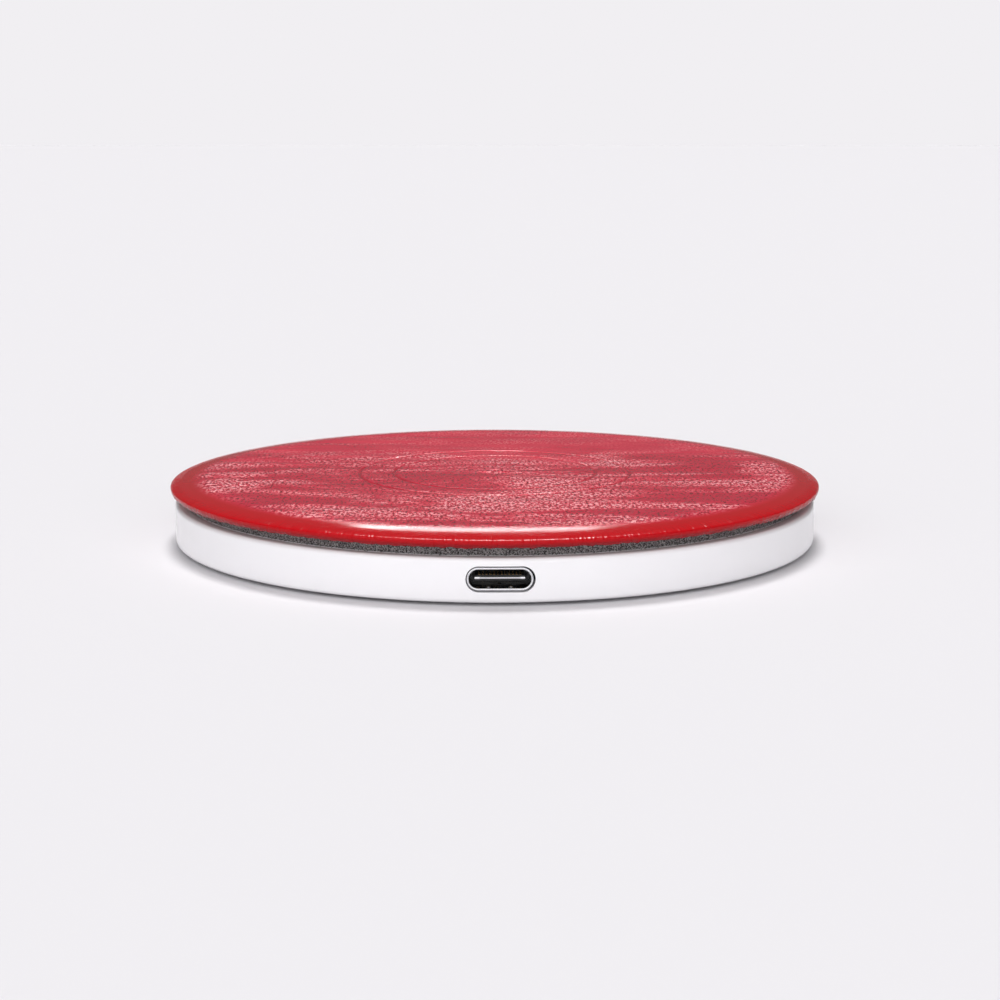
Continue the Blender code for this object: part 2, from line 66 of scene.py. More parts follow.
def take_up(piece):
    """Makes this piece the only one selected, and active."""
    deselect()
    piece.select_set(True)
    bpy.context.view_layer.objects.active = piece


def settle(name=None):
    """Puts the new piece's place, turn and size into its mesh."""
    piece = bpy.context.object
    bpy.ops.object.transform_apply(location=True, rotation=True, scale=True)
    if name:
        piece.name = name
        piece.data.name = name
    return piece


def apply_modifiers(piece):
    take_up(piece)
    for modifier in list(piece.modifiers):
        bpy.ops.object.modifier_apply(modifier=modifier.name)


def smooth(piece, angle=35):
    take_up(piece)
    bpy.ops.object.shade_smooth_by_angle(angle=math.radians(angle))


def turned(name, profile, steps=ROUND_STEPS, at=(0.0, 0.0)):
    """A closed body spun about an upright axis through at, from (radius, z) points."""
    deselect()
    bpy.ops.mesh.primitive_plane_add(size=MM)
    piece = settle(name)
    bpy.ops.object.mode_set(mode="EDIT")
    bpy.ops.mesh.merge(type="CENTER")
    here = (0.0, 0.0)
    for number, place in enumerate(profile):
        step = ((place[0] - here[0]) * MM, 0.0, (place[1] - here[1]) * MM)
        if number == 0:
            bpy.ops.transform.translate(value=step)
        else:
            bpy.ops.mesh.extrude_vertices_move(TRANSFORM_OT_translate={"value": step})
        here = place
    bpy.ops.mesh.select_all(action="SELECT")
    bpy.ops.mesh.spin(steps=steps, angle=math.tau, center=(0, 0, 0), axis=(0, 0, 1))
    bpy.ops.mesh.select_all(action="SELECT")
    bpy.ops.mesh.remove_doubles(threshold=SAME_POINT * MM)
    bpy.ops.mesh.dissolve_degenerate(threshold=SAME_POINT * MM)
    bpy.ops.mesh.select_all(action="SELECT")
    bpy.ops.mesh.normals_make_consistent(inside=False)
    bpy.ops.transform.translate(value=(at[0] * MM, at[1] * MM, 0.0))
    bpy.ops.object.mode_set(mode="OBJECT")
    return piece


def arc(centre, radii, start, end, steps):
    """Points of a rounded corner in the (radius, z) plane, angles in degrees."""
    turns = [math.radians(start + (end - start) * i / steps) for i in range(steps + 1)]
    return [(centre[0] + radii[0] * math.cos(t), centre[1] + radii[1] * math.sin(t)) for t in turns]


def on_circle(radius, angle):
    return radius * math.cos(math.radians(angle)), radius * math.sin(math.radians(angle))


def combine(target, tool, operation):
    """Joins a tool on to a piece, or cuts it out, and takes the tool away."""
    step = target.modifiers.new("step", "BOOLEAN")
    step.operation = operation
    step.solver = "EXACT"
    step.object = tool
    apply_modifiers(target)
    bpy.data.objects.remove(tool)
    bpy.ops.object.mode_set(mode="EDIT")
    bpy.ops.mesh.select_all(action="SELECT")
    bpy.ops.mesh.remove_doubles(threshold=2 * SAME_POINT * MM)
    bpy.ops.object.mode_set(mode="OBJECT")


def slot_outline(name, width, height, y, z, points=64):
    """A loop of edges round a slot with full round ends, facing -Y."""
    deselect()
    bpy.ops.mesh.primitive_circle_add(
        vertices=points,
        radius=height / 2 * MM,
        location=(0.0, y * MM, z * MM),
        rotation=(math.pi / 2, math.pi / points, 0.0),
    )
    piece = settle(name)
    reach = (width - height) / 2 * MM
    for side in (1, -1):
        bpy.ops.object.mode_set(mode="EDIT")
        bpy.ops.mesh.select_all(action="DESELECT")
        bpy.ops.object.mode_set(mode="OBJECT")
        for vertex in piece.data.vertices:
            vertex.select = vertex.co.x * side > 0.0
        bpy.ops.object.mode_set(mode="EDIT")
        bpy.ops.mesh.select_mode(type="VERT")
        bpy.ops.transform.translate(value=(side * reach, 0.0, 0.0))
    bpy.ops.mesh.select_all(action="SELECT")
    return piece


def slot_block(name, width, height, y, z, depth, points=64):
    """A solid bar with a slot's outline, from y towards +Y."""
    piece = slot_outline(name, width, height, y, z, points)
    bpy.ops.mesh.edge_face_add()
    bpy.ops.mesh.extrude_region_move(TRANSFORM_OT_translate={"value": (0.0, depth * MM, 0.0)})
    bpy.ops.mesh.select_all(action="SELECT")
    bpy.ops.mesh.normals_make_consistent(inside=False)
    bpy.ops.object.mode_set(mode="OBJECT")
    return piece


tray_low, tray_high = (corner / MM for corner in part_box("lower_housing"))
TRAY_RADIUS = tray_high.x
TRAY_BOTTOM, TRAY_TOP = tray_low.z, tray_high.z
CORNER = 0.6  # radius of the wall's top and bottom edges
foot_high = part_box("foot_ring")[1] / MM
FOOT_WIDTH = 6.0
FOOT_OUTER, FOOT_INNER, FOOT_TOP = foot_high.x, foot_high.x - FOOT_WIDTH, foot_high.z
CLEAR = 0.3  # gap between moulded pieces
FLOOR_TOP = 1.6
RIM_INNER, SHELF_INNER, SHELF_TOP = 47.6, 46.3, 5.3
SOFT = 0.12  # radius of the small mould edges

tray_profile = [
    (0.0, TRAY_BOTTOM),
    *arc((FOOT_INNER - CLEAR - SOFT, TRAY_BOTTOM + SOFT), (SOFT, SOFT), -90, 0, 3),
    (FOOT_INNER - CLEAR, FOOT_TOP + CLEAR),
    (FOOT_OUTER + CLEAR, FOOT_TOP + CLEAR),
    *arc((FOOT_OUTER + CLEAR + SOFT, TRAY_BOTTOM + SOFT), (SOFT, SOFT), 180, 270, 3),
    *arc((TRAY_RADIUS - CORNER, TRAY_BOTTOM + CORNER), (CORNER, CORNER), -90, 0, 10),
    *arc((TRAY_RADIUS - CORNER, TRAY_TOP - CORNER), (CORNER, CORNER), 0, 90, 10),
    *arc((RIM_INNER + SOFT, TRAY_TOP - SOFT), (SOFT, SOFT), 90, 180, 3),
    (RIM_INNER, SHELF_TOP),
    (SHELF_INNER, SHELF_TOP),
    (SHELF_INNER, FLOOR_TOP),
    (0.0, FLOOR_TOP),
]
housing_tray = turned("housing_tray", tray_profile)

BOSS_CIRCLE = 41.0
ROOT = FLOOR_TOP - 0.2  # how deep a boss or peg is merged into the floor
BOSS_RADIUS, BOSS_TOP = 3.3, 3.2
HEAD_WAY, HEAD_SEAT, SCREW_WAY = 2.3, 2.25, 1.15
PEG_FOOT, PEG_SEAT, PEG_RADIUS, PEG_TOP = 2.0, 2.1, 0.8, 3.9
boss_profile = [(0.0, ROOT), (BOSS_RADIUS, ROOT), (BOSS_RADIUS, BOSS_TOP), (0.0, BOSS_TOP)]
screw_profile = [
    (0.0, 0.0),
    (HEAD_WAY, 0.0),
    (HEAD_WAY, HEAD_SEAT),
    (SCREW_WAY, HEAD_SEAT),
    (SCREW_WAY, BOSS_TOP + CLEAR),
    (0.0, BOSS_TOP + CLEAR),
]
peg_profile = [
    (0.0, ROOT),
    (PEG_FOOT, ROOT),
    (PEG_FOOT, PEG_SEAT),
    (PEG_RADIUS, PEG_SEAT),
    (PEG_RADIUS, PEG_TOP),
    (0.0, PEG_TOP),
]
for boss_angle in (90.0, 210.0, 330.0):
    place = on_circle(BOSS_CIRCLE, boss_angle)
    combine(housing_tray, turned("boss", boss_profile, 48, place), "UNION")
    combine(housing_tray, turned("screw_way", screw_profile, 40, place), "DIFFERENCE")
for peg_angle in (232.0, 308.0):
    place = on_circle(BOSS_CIRCLE, peg_angle)
    combine(housing_tray, turned("peg", peg_profile, 32, place), "UNION")

shell_low, shell_high = (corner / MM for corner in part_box("usb_shell"))
SOCKET_Z = (shell_low.z + shell_high.z) / 2
SHELL_WIDTH, SHELL_HEIGHT = 8.94, shell_high.z - shell_low.z
OPENING_GAP, OPENING_DEPTH = 0.2, 5.0
OPENING_SHIFT = 0.08  # the opening sits this far to the right of the socket's middle
opening = slot_block(
    "opening",
    SHELL_WIDTH + 2 * OPENING_GAP,
    SHELL_HEIGHT + 2 * OPENING_GAP,
    -TRAY_RADIUS - 1.0,
    SOCKET_Z,
    OPENING_DEPTH + 1.0,
)
opening.data.transform(Matrix.Translation((OPENING_SHIFT * MM, 0.0, 0.0)))
combine(housing_tray, opening, "DIFFERENCE")
smooth(housing_tray, 30)


class Finish:
    """A material being mixed from nodes, with its pattern set out in millimetres."""

    def __init__(self, name, colour, roughness, **constants):
        self.material = bpy.data.materials.new(name)
        self.material.use_nodes = True
        self.tree = self.material.node_tree
        self.shader = self.tree.nodes["Principled BSDF"]
        self.shader.inputs["Base Color"].default_value = (*colour, 1.0)
        self.shader.inputs["Roughness"].default_value = roughness
        for socket, value in constants.items():
            self.shader.inputs[socket.replace("_", " ")].default_value = value
        self.coordinates = self.tree.nodes.new("ShaderNodeTexCoord").outputs["Object"]

    def node(self, kind, *links, **settings):
        """A node with its inputs linked to, or set to, the given things in order."""
        made = self.tree.nodes.new("ShaderNode" + kind)
        for key, value in settings.items():
            setattr(made, key, value)
        for socket, value in zip(made.inputs, links):
            if isinstance(value, bpy.types.NodeSocket):
                self.tree.links.new(value, socket)
            elif value is not None:
                socket.default_value = value
        return made

    def spread(self, size):
        """Object coordinates measured in pattern sizes: size is millimetres along X, Y and Z."""
        scale = tuple(1.0 / (MM * length) for length in size)
        made = self.node("Mapping", self.coordinates)
        made.inputs["Scale"].default_value = scale
        return made.outputs["Vector"]

    def noise(self, size, detail=3.0, roughness=0.55, distortion=0.0, vector=None):
        """Soft random values from 0 to 1, with blotches of this size in millimetres."""
        size = size if hasattr(size, "__len__") else (size,) * 3
        made = self.tree.nodes.new("ShaderNodeTexNoise")
        self.tree.links.new(vector or self.spread(size), made.inputs["Vector"])
        made.inputs["Scale"].default_value = 1.0
        made.inputs["Detail"].default_value = detail
        made.inputs["Roughness"].default_value = roughness
        made.inputs["Distortion"].default_value = distortion
        return made.outputs["Fac"]

    def between(self, value, low, high, to_low=0.0, to_high=1.0):
        """Runs smoothly from to_low to to_high as the value goes from low to high."""
        made = self.node("MapRange", value, low, high, to_low, to_high)
        made.interpolation_type = "SMOOTHSTEP"
        return made.outputs["Result"]

    def calculate(self, operation, first, second=0.0):
        return self.node("Math", first, second, operation=operation).outputs["Value"]

    def blend(self, amount, first, second):
        """One colour passing into another."""
        made = self.tree.nodes.new("ShaderNodeMix")
        made.data_type = "RGBA"
        for socket, value in (("Factor", amount), ("A", first), ("B", second)):
            target = [s for s in made.inputs if s.name == socket and s.enabled][0]
            if isinstance(value, bpy.types.NodeSocket):
                self.tree.links.new(value, target)
            else:
                target.default_value = (*value, 1.0) if hasattr(value, "__len__") else value
        return [s for s in made.outputs if s.enabled][0]

    def feed(self, socket, value):
        self.tree.links.new(value, self.shader.inputs[socket])

    def relief(self, *layers):
        """Fine relief on the surface, each layer a (height, depth in millimetres) pair."""
        normal = None
        for height, depth in layers:
            made = self.tree.nodes.new("ShaderNodeBump")
            made.inputs["Distance"].default_value = depth * MM
            self.tree.links.new(height, made.inputs["Height"])
            if normal:
                self.tree.links.new(normal, made.inputs["Normal"])
            normal = made.outputs["Normal"]
        self.feed("Normal", normal)


def dress(piece, finish):
    """Gives a piece this finish and no other."""
    piece.data.materials.clear()
    piece.data.materials.append(finish.material)


white_plastic = Finish("white_plastic", (0.9, 0.89, 0.91), 0.2, Specular_IOR_Level=0.45)
cloudiness = white_plastic.noise(9.0, detail=4.0)
white_plastic.feed(
    "Base Color", white_plastic.blend(cloudiness, (0.91, 0.9, 0.922), (0.885, 0.875, 0.897))
)
white_plastic.feed("Roughness", white_plastic.between(cloudiness, 0.3, 0.7, 0.16, 0.24))
white_plastic.relief((white_plastic.noise(0.8, detail=1.0), 0.0015))
dress(housing_tray, white_plastic)
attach(housing_tray, "root")
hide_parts("lower_housing")


# ------------------------------------------------------------------- foot ring
# A flat ring of grey silicone rubber, punched from sheet and stuck into the groove under
# the tray. It holds the tray half a millimetre off the table and keeps it from sliding.

FOOT_SOFT = 0.15
foot_pad = turned(
    "foot_pad",
    [
        (FOOT_INNER, FOOT_TOP),
        *arc((FOOT_INNER + FOOT_SOFT, FOOT_SOFT), (FOOT_SOFT, FOOT_SOFT), 180, 270, 5),
        *[(FOOT_INNER + 0.5 * i, 0.0) for i in range(1, 12)],
        *arc((FOOT_OUTER - FOOT_SOFT, FOOT_SOFT), (FOOT_SOFT, FOOT_SOFT), 270, 360, 5),
        (FOOT_OUTER, FOOT_TOP),
        (FOOT_INNER, FOOT_TOP),
    ],
)
smooth(foot_pad, 50)

grey_silicone = Finish("grey_silicone", (0.36, 0.36, 0.37), 0.55, Specular_IOR_Level=0.35)
bloom = grey_silicone.noise(4.0, detail=5.0)
grey_silicone.feed("Base Color", grey_silicone.blend(bloom, (0.3, 0.3, 0.31), (0.42, 0.42, 0.43)))
grey_silicone.feed("Roughness", grey_silicone.between(bloom, 0.3, 0.7, 0.48, 0.66))
grey_silicone.relief((grey_silicone.noise(0.25, detail=2.0), 0.01))
dress(foot_pad, grey_silicone)
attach(foot_pad, "root")
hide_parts("foot_ring")


# ---------------------------------------------------------------- socket shell
# The USB-C socket's shell is one strip of stainless steel, drawn into a slot-shaped tube
# and plated bright. Small bumps pressed into it grip the plug. It is soldered to the board.

SHELL_WALL, MOUTH_ROUND = 0.3, 0.11
SHELL_FRONT, SHELL_BACK = shell_low.y, shell_high.y
socket_shell = slot_outline("socket_shell", SHELL_WIDTH, SHELL_HEIGHT, SHELL_FRONT, SOCKET_Z, 96)
bpy.ops.mesh.extrude_region_move(
    TRANSFORM_OT_translate={"value": (0.0, (SHELL_BACK - SHELL_FRONT) * MM, 0.0)}
)
bpy.ops.mesh.select_all(action="SELECT")
bpy.ops.mesh.normals_make_consistent(inside=False)
bpy.ops.object.mode_set(mode="OBJECT")
wall = socket_shell.modifiers.new("wall", "SOLIDIFY")
wall.thickness = SHELL_WALL * MM
wall.offset = -1.0
wall.use_even_offset = True
rounding = socket_shell.modifiers.new("rounding", "BEVEL")
rounding.width = MOUTH_ROUND * MM
rounding.segments = 4
rounding.limit_method = "ANGLE"
rounding.angle_limit = math.radians(60)
apply_modifiers(socket_shell)


def bar(name, centre, size, soft, segments=3):
    """A squared bar with its edges rounded."""
    deselect()
    bpy.ops.mesh.primitive_cube_add(size=1.0, location=[c * MM for c in centre])
    bpy.ops.transform.resize(value=[s * MM for s in size])
    piece = settle(name)
    bpy.ops.object.mode_set(mode="EDIT")
    bpy.ops.mesh.select_all(action="SELECT")
    bpy.ops.mesh.bevel(offset=soft * MM, segments=segments, affect="EDGES")
    bpy.ops.object.mode_set(mode="OBJECT")
    return piece


INNER_WIDTH, INNER_HEIGHT = SHELL_WIDTH - 2 * SHELL_WALL, SHELL_HEIGHT - 2 * SHELL_WALL
WING_Y, WING_Z, WING_REACH = -42.8, 3.85, 1.45  # the flat ears that are soldered down
WING_LENGTH, WING_THICKNESS = 1.8, 0.25
GRIP_BUMPS = ((-1.5, 1.3, 0.42), (1.5, 1.3, 0.42), (0.0, 3.4, 0.3))  # x, depth and radius
for side in (-1, 1):
    wing_x = side * ((SHELL_WIDTH - SHELL_WALL + WING_REACH) / 2)
    wing_size = (WING_REACH + SHELL_WALL, WING_LENGTH, WING_THICKNESS)
    combine(socket_shell, bar("wing", (wing_x, WING_Y, WING_Z), wing_size, 0.05), "UNION")
    for bump_x, bump_depth, bump_radius in GRIP_BUMPS:
        deselect()
        bpy.ops.mesh.primitive_uv_sphere_add(
            segments=20,
            ring_count=12,
            radius=bump_radius * MM,
            location=(
                bump_x * MM,
                (SHELL_FRONT + bump_depth) * MM,
                (SOCKET_Z + side * (INNER_HEIGHT / 2 + 0.05)) * MM,
            ),
            scale=(1.0, 1.3, 0.5),
        )
        combine(socket_shell, settle("bump"), "UNION")
smooth(socket_shell, 40)

plated_steel = Finish("plated_steel", (0.78, 0.78, 0.8), 0.14, Metallic=1.0)
drawing_lines = plated_steel.noise((0.12, 3.0, 0.12), detail=3.0)
plated_steel.feed("Roughness", plated_steel.between(drawing_lines, 0.3, 0.7, 0.1, 0.24))
plated_steel.feed(
    "Base Color", plated_steel.blend(drawing_lines, (0.82, 0.82, 0.83), (0.66, 0.66, 0.69))
)
plated_steel.relief((drawing_lines, 0.003))
dress(socket_shell, plated_steel)
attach(socket_shell, "root")
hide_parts("usb_shell")


# --------------------------------------------------------------- socket tongue
# The tongue is black glass-filled nylon moulded round a steel mid-plate and twenty-four
# gilt contacts. Its thick root, or collar, is pushed into the shell from behind.

TONGUE_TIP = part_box("usb_tongue")[0].y / MM
TONGUE_WIDTH, TONGUE_THICKNESS = 6.69, 0.7
COLLAR_FRONT = SHELL_FRONT + 4.2
COLLAR_GAP = 0.04  # between the collar and the inside of the shell
COLLAR_JOIN = 0.3  # how far the tongue runs into the collar
POCKET_WALL, POCKET_DEPTH = 0.4, 1.1  # the hollow in the collar's front, round the tongue


def joined(pieces, name):
    """One object made of several, in the order given."""
    deselect()
    for piece in pieces:
        piece.select_set(True)
    bpy.context.view_layer.objects.active = pieces[0]
    bpy.ops.object.join()
    pieces[0].name = name
    return pieces[0]


tongue_length = COLLAR_FRONT + COLLAR_JOIN - TONGUE_TIP
socket_tongue = bar(
    "socket_tongue",
    (0.0, TONGUE_TIP + tongue_length / 2, SOCKET_Z),
    (TONGUE_WIDTH, tongue_length, TONGUE_THICKNESS),
    0.1,
)
collar = slot_block(
    "collar",
    INNER_WIDTH - COLLAR_GAP,
    INNER_HEIGHT - COLLAR_GAP,
    COLLAR_FRONT,
    SOCKET_Z,
    SHELL_BACK - COLLAR_FRONT,
    96,
)
pocket = slot_block(
    "pocket",
    INNER_WIDTH - 2 * POCKET_WALL,
    INNER_HEIGHT - 2 * POCKET_WALL,
    COLLAR_FRONT - 0.5,
    SOCKET_Z,
    POCKET_DEPTH + 0.5,
    96,
)
combine(collar, pocket, "DIFFERENCE")
combine(socket_tongue, collar, "UNION")
smooth(socket_tongue, 40)

black_plastic = Finish("black_plastic", (0.012, 0.012, 0.013), 0.38, Specular_IOR_Level=0.4)
fibre = black_plastic.noise((0.15, 0.5, 0.15), detail=4.0)
black_plastic.feed(
    "Base Color", black_plastic.blend(fibre, (0.008, 0.008, 0.009), (0.03, 0.03, 0.032))
)
black_plastic.feed("Roughness", black_plastic.between(fibre, 0.35, 0.65, 0.28, 0.5))
black_plastic.relief((fibre, 0.008))
dress(socket_tongue, black_plastic)
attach(socket_tongue, "root")
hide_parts("usb_tongue")

CONTACT_PITCH, CONTACT_INSET = 0.5, 0.45
CONTACT_SIZE = (0.26, 2.3, 0.06)
contacts = []
for side in (-1, 1):
    for number in range(12):
        centre = (
            (number - 5.5) * CONTACT_PITCH,
            TONGUE_TIP + CONTACT_INSET + CONTACT_SIZE[1] / 2,
            SOCKET_Z + side * TONGUE_THICKNESS / 2,
        )
        contacts.append(bar("contact", centre, CONTACT_SIZE, 0.02, 1))
socket_contacts = joined(contacts, "socket_contacts")
smooth(socket_contacts)
gilt = Finish("gilt", (0.85, 0.6, 0.28), 0.25, Metallic=1.0)
wiping = gilt.noise((0.08, 1.2, 0.2), detail=2.0)
gilt.feed("Base Color", gilt.blend(wiping, (0.9, 0.66, 0.32), (0.74, 0.5, 0.22)))
gilt.feed("Roughness", gilt.between(wiping, 0.3, 0.7, 0.18, 0.36))
dress(socket_contacts, gilt)
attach(socket_contacts, "root")

LATCH_SIZE, LATCH_INSET = (0.72, 1.86, 0.3), 0.32  # the bare ends that a plug latches on
PLATE_EDGE_SIZE = (TONGUE_WIDTH - 1.0, 0.1, 0.16)
mid_plate_ends = [
    bar(
        "mid_plate_end",
        (side * (TONGUE_WIDTH / 2 - LATCH_INSET), TONGUE_TIP + 0.9, SOCKET_Z),
        LATCH_SIZE,
        0.07,
        2,
    )
    for side in (-1, 1)
]
mid_plate_front = bar(
    "mid_plate_front", (0.0, TONGUE_TIP + 0.02, SOCKET_Z), PLATE_EDGE_SIZE, 0.03, 2
)
socket_mid_plate = joined([*mid_plate_ends, mid_plate_front], "socket_mid_plate")
smooth(socket_mid_plate)
dress(socket_mid_plate, plated_steel)
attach(socket_mid_plate, "root")


# --------------------------------------------------------------- circuit board
# A ring-shaped piece of green glass-epoxy board, dropped over the tray's two pegs, with its
# chips, capacitors and inductor soldered along it. Its solder mask shows the traces below.

board_laminate = Finish("board_laminate", (0.02, 0.15, 0.06), 0.32, Specular_IOR_Level=0.5)
weave = board_laminate.tree.nodes.new("ShaderNodeTexWave")
board_laminate.tree.links.new(board_laminate.spread((1.4, 1.4, 1.4)), weave.inputs["Vector"])
weave.wave_type = "RINGS"
weave.rings_direction = "Z"
weave.inputs["Scale"].default_value = 1.0
weave.inputs["Distortion"].default_value = 3.5
weave.inputs["Detail"].default_value = 2.0
traces = board_laminate.between(weave.outputs["Fac"], 0.45, 0.55)
board_laminate.feed(
    "Base Color", board_laminate.blend(traces, (0.012, 0.11, 0.045), (0.03, 0.2, 0.08))
)
board_laminate.relief((traces, 0.02))
dress(nodes["controller_board"], board_laminate)

chip_epoxy = Finish("chip_epoxy", (0.02, 0.02, 0.022), 0.55, Specular_IOR_Level=0.35)
filler = chip_epoxy.noise(0.12, detail=3.0)
chip_epoxy.feed(
    "Base Color", chip_epoxy.blend(filler, (0.014, 0.014, 0.015), (0.036, 0.036, 0.04))
)
chip_epoxy.relief((filler, 0.01))
for name in (
    "charge_controller",
    "power_stage",
    "voltage_regulator",
    "input_tvs_diode",
    "sense_resistor",
):
    dress(nodes[name], chip_epoxy)

capacitor_ceramic = Finish("capacitor_ceramic", (0.42, 0.27, 0.16), 0.4)
firing = capacitor_ceramic.noise(0.5, detail=4.0)
capacitor_ceramic.feed(
    "Base Color", capacitor_ceramic.blend(firing, (0.35, 0.22, 0.12), (0.52, 0.35, 0.21))
)
capacitor_ceramic.relief((firing, 0.01))
for name in sorted(nodes):
    if "capacitor" in name:
        dress(nodes[name], capacitor_ceramic)

blue_silicone = Finish("blue_silicone", (0.1, 0.25, 0.42), 0.7, Specular_IOR_Level=0.3)
kneading = blue_silicone.noise(1.2, detail=4.0)
blue_silicone.feed(
    "Base Color", blue_silicone.blend(kneading, (0.08, 0.2, 0.36), (0.14, 0.32, 0.5))
)
blue_silicone.relief((kneading, 0.05))
dress(nodes["thermal_pad"], blue_silicone)


# --------------------------------------------------------------- charging coil
# Ten turns of stranded copper wire lie flat on film, stuck under the lid. A slotted disc of
# grey ferrite behind it turns the field upwards, and a soft pad presses the stack together.

litz_wire = Finish("litz_wire", (0.62, 0.28, 0.12), 0.38, Metallic=0.85)
strands = litz_wire.noise((0.5, 0.5, 0.08), detail=3.0)
litz_wire.feed("Base Color", litz_wire.blend(strands, (0.5, 0.2, 0.08), (0.75, 0.38, 0.18)))
litz_wire.relief((strands, 0.04))
dress(nodes["charging_coil"], litz_wire)

film_tape = Finish("film_tape", (0.5, 0.33, 0.07), 0.24, Coat_Weight=0.3)
rolling = film_tape.noise((20.0, 1.5, 20.0), detail=2.0)
film_tape.feed("Base Color", film_tape.blend(rolling, (0.45, 0.29, 0.05), (0.58, 0.4, 0.1)))
film_tape.relief((rolling, 0.02))
dress(nodes["coil_film"], film_tape)

ferrite = Finish("ferrite", (0.06, 0.06, 0.065), 0.55, Specular_IOR_Level=0.5)
sinter = ferrite.noise(0.6, detail=5.0, roughness=0.7)
ferrite.feed("Base Color", ferrite.blend(sinter, (0.045, 0.045, 0.05), (0.095, 0.095, 0.1)))
ferrite.feed("Roughness", ferrite.between(sinter, 0.35, 0.65, 0.4, 0.7))
ferrite.relief((sinter, 0.015))
dress(nodes["ferrite_disc"], ferrite)
dress(nodes["input_inductor"], ferrite)

for name in ("coil_thermistor", "thermistor_lead"):
    dress(nodes[name], black_plastic)


# ------------------------------------------------------------ lid and screws
# The lid is a flat disc moulded in the same white ABS as the tray. Three plated steel
# screws, hidden by the foot ring, go up through the tray into bosses under the lid.

dress(nodes["housing_lid"], white_plastic)

screw_steel = Finish("screw_steel", (0.5, 0.5, 0.51), 0.32, Metallic=1.0)
tooling = screw_steel.noise((0.4, 0.4, 0.05), detail=3.0)
screw_steel.feed("Base Color", screw_steel.blend(tooling, (0.46, 0.46, 0.47), (0.62, 0.62, 0.63)))
screw_steel.feed("Roughness", screw_steel.between(tooling, 0.35, 0.65, 0.24, 0.42))
screw_steel.relief((tooling, 0.01))
for number in (1, 2, 3):
    dress(nodes[f"case_screw_{number}"], screw_steel)


# ------------------------------------------------------------------- foam neck
# A disc of charcoal foam, sticky on both faces, joins the wrapped disc to the lid. Only its
# rim shows, as a dark neck with the torn, open cells that a punch leaves in foam.

foam_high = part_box("mount_foam_pad")[1] / MM
FOAM_RADIUS = foam_high.x
FOAM_BOTTOM = TRAY_TOP + 0.02
FOAM_TOP = foam_high.z + 0.16  # pressed up against the leather's lip
FOAM_ROWS, FOAM_STEPS = 12, 1440  # fine enough at the rim to carry the torn cells
foam_levels = [
    FOAM_BOTTOM + (FOAM_TOP - FOAM_BOTTOM) * row / FOAM_ROWS for row in range(FOAM_ROWS + 1)
]
foam_profile = [
    *[(radius, FOAM_BOTTOM) for radius in (0.0, 30.0, FOAM_RADIUS - 0.5)],
    *[(FOAM_RADIUS, level) for level in foam_levels],
    *[(radius, FOAM_TOP) for radius in (FOAM_RADIUS - 0.5, 30.0, 0.0)],
]
foam_neck = turned("foam_neck", foam_profile, FOAM_STEPS)


def weighted(piece, name, weigh):
    """A vertex group holding what weigh gives for each point, in millimetres."""
    group = piece.vertex_groups.new(name=name)
    for vertex in piece.data.vertices:
        weight = weigh(vertex.co / MM)
        if weight > 0.0:
            group.add([vertex.index], min(weight, 1.0), "REPLACE")
    return name


def raise_pattern(piece, name, size, height, group, depth=2):
    """Lifts the surface in soft random lumps of this size, in millimetres."""
    pattern = bpy.data.textures.new(name, "CLOUDS")
    pattern.noise_scale = 1.0
    pattern.noise_depth = depth
    spacer = bpy.data.objects.new(name, None)
    bpy.context.scene.collection.objects.link(spacer)
    spacer.scale = [length * MM for length in size]
    bpy.context.view_layer.update()
    step = piece.modifiers.new(name, "DISPLACE")
    step.texture = pattern
    step.texture_coords = "OBJECT"
    step.texture_coords_object = spacer
    step.strength = height * MM
    step.vertex_group = group
    apply_modifiers(piece)
    bpy.data.objects.remove(spacer)


torn_rim = weighted(foam_neck, "torn_rim", lambda point: point.xy.length > FOAM_RADIUS - 0.1)
raise_pattern(foam_neck, "open_cells", (0.22, 0.22, 0.22), 0.5, torn_rim, depth=1)
smooth(foam_neck, 60)

charcoal_foam = Finish("charcoal_foam", (0.1, 0.1, 0.1), 0.9, Specular_IOR_Level=0.2)
cells = charcoal_foam.noise(0.2, detail=3.0, roughness=0.7)
cell_walls = charcoal_foam.between(cells, 0.38, 0.66)
charcoal_foam.feed(
    "Base Color", charcoal_foam.blend(cell_walls, (0.012, 0.012, 0.012), (0.5, 0.49, 0.49))
)
charcoal_foam.relief((cells, 0.06))
dress(foam_neck, charcoal_foam)
dress(nodes["coil_foam_pad"], charcoal_foam)
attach(foam_neck, "root")
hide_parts("mount_foam_pad")


# ---------------------------------------------------------- stiffener and lining
# Two discs of grey card. The stiffener keeps the leather flat on top, and the lining covers
# the raw edge of the leather where it is turned in underneath.

card = Finish("card", (0.3, 0.29, 0.27), 0.85, Specular_IOR_Level=0.2)
pulp = card.noise((1.2, 0.2, 0.2), detail=4.0)
card.feed("Base Color", card.blend(pulp, (0.24, 0.23, 0.21), (0.37, 0.36, 0.34)))
card.relief((pulp, 0.02))
for name in ("stiffener_board", "lining_disc"):
    dress(nodes[name], card)


# ---------------------------------------------------------------- leather cover
# A round of waxed red leather is stretched over the stiffener, rolled round its edge and
# glued down underneath, where the fullness gathers into small pleats. A heated ring presses
# two circles and a plus into the top to show where a phone goes.

